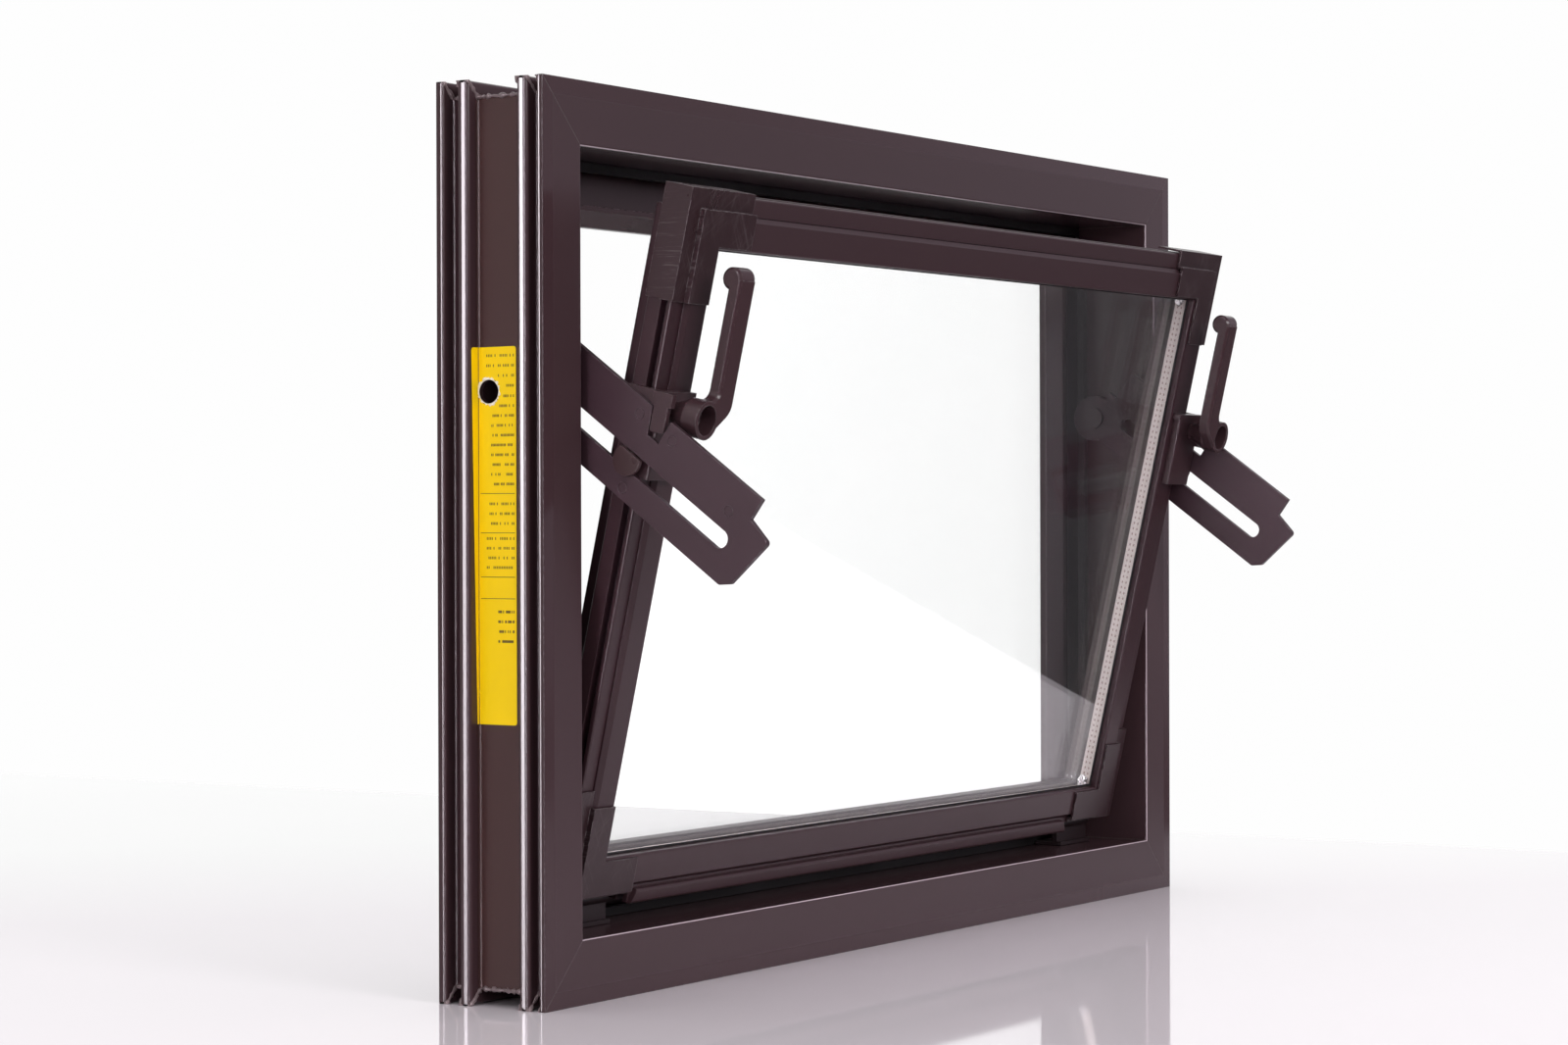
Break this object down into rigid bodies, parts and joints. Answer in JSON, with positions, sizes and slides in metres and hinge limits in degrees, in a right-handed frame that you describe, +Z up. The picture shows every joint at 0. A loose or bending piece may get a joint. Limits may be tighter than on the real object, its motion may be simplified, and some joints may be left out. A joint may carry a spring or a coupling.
{
  "type": "basement window",
  "caption": "Brown plastic basement window: hollow frame with a double-glazed sash tilted inward on slotted side stays, with turning levers.",
  "frame": {"origin": "middle of the lower outer edge of the frame, on its room-side face", "axes": "+Z up, +X along the window's width, +Y from the room to the outside"},
  "size_m": [0.6, 0.1489, 0.4],
  "materials": {
    "frame_plastic": "satin dark brown rigid plastic, fine extrusion grain",
    "sash_plastic": "satin dark brown rigid plastic, fine extrusion grain",
    "bead_plastic": "satin dark brown rigid plastic",
    "strip_plastic": "satin dark brown rigid plastic",
    "cap_plastic": "moulded dark brown plastic, sanded and scratched",
    "stay_plastic": "moulded dark brown plastic",
    "lock_plastic": "moulded dark brown plastic",
    "lever_plastic": "moulded dark brown plastic, softly shiny",
    "hinge_plastic": "moulded dark brown plastic",
    "pin_plastic": "moulded dark brown plastic",
    "pin_steel": "plated steel",
    "seal_rubber": "matt black rubber",
    "spacer_metal": "pale perforated metal",
    "pane_glass": "clear float glass",
    "glazing_rubber": "matt black rubber"
  },
  "bodies": {
    "root": {"frame_bottom": "frame_plastic", "frame_top": "frame_plastic", "frame_left": "frame_plastic", "frame_right": "frame_plastic", "frame_seal": "seal_rubber", "sash_bottom": "sash_plastic", "sash_top": "sash_plastic", "sash_left": "sash_plastic", "sash_right": "sash_plastic", "foot_strip": "strip_plastic", "bead_bottom": "bead_plastic", "bead_top": "bead_plastic", "bead_left": "bead_plastic", "bead_right": "bead_plastic", "pane_room": "pane_glass", "pane_outside": "pane_glass", "glazing_seal_room": "glazing_rubber", "glazing_seal_outside": "glazing_rubber", "spacer": "spacer_metal", "cap_top_left": "cap_plastic", "cap_top_right": "cap_plastic", "cap_bottom_left": "cap_plastic", "cap_bottom_right": "cap_plastic", "left_stay": "stay_plastic", "right_stay": "stay_plastic", "left_stay_pivot": "pin_steel", "right_stay_pivot": "pin_steel", "left_slide_pin": "pin_plastic", "right_slide_pin": "pin_plastic", "left_lock_case": "lock_plastic", "right_lock_case": "lock_plastic", "left_lever": "lever_plastic", "right_lever": "lever_plastic", "left_hinge": "hinge_plastic", "right_hinge": "hinge_plastic"}
  },
  "joints": []
}
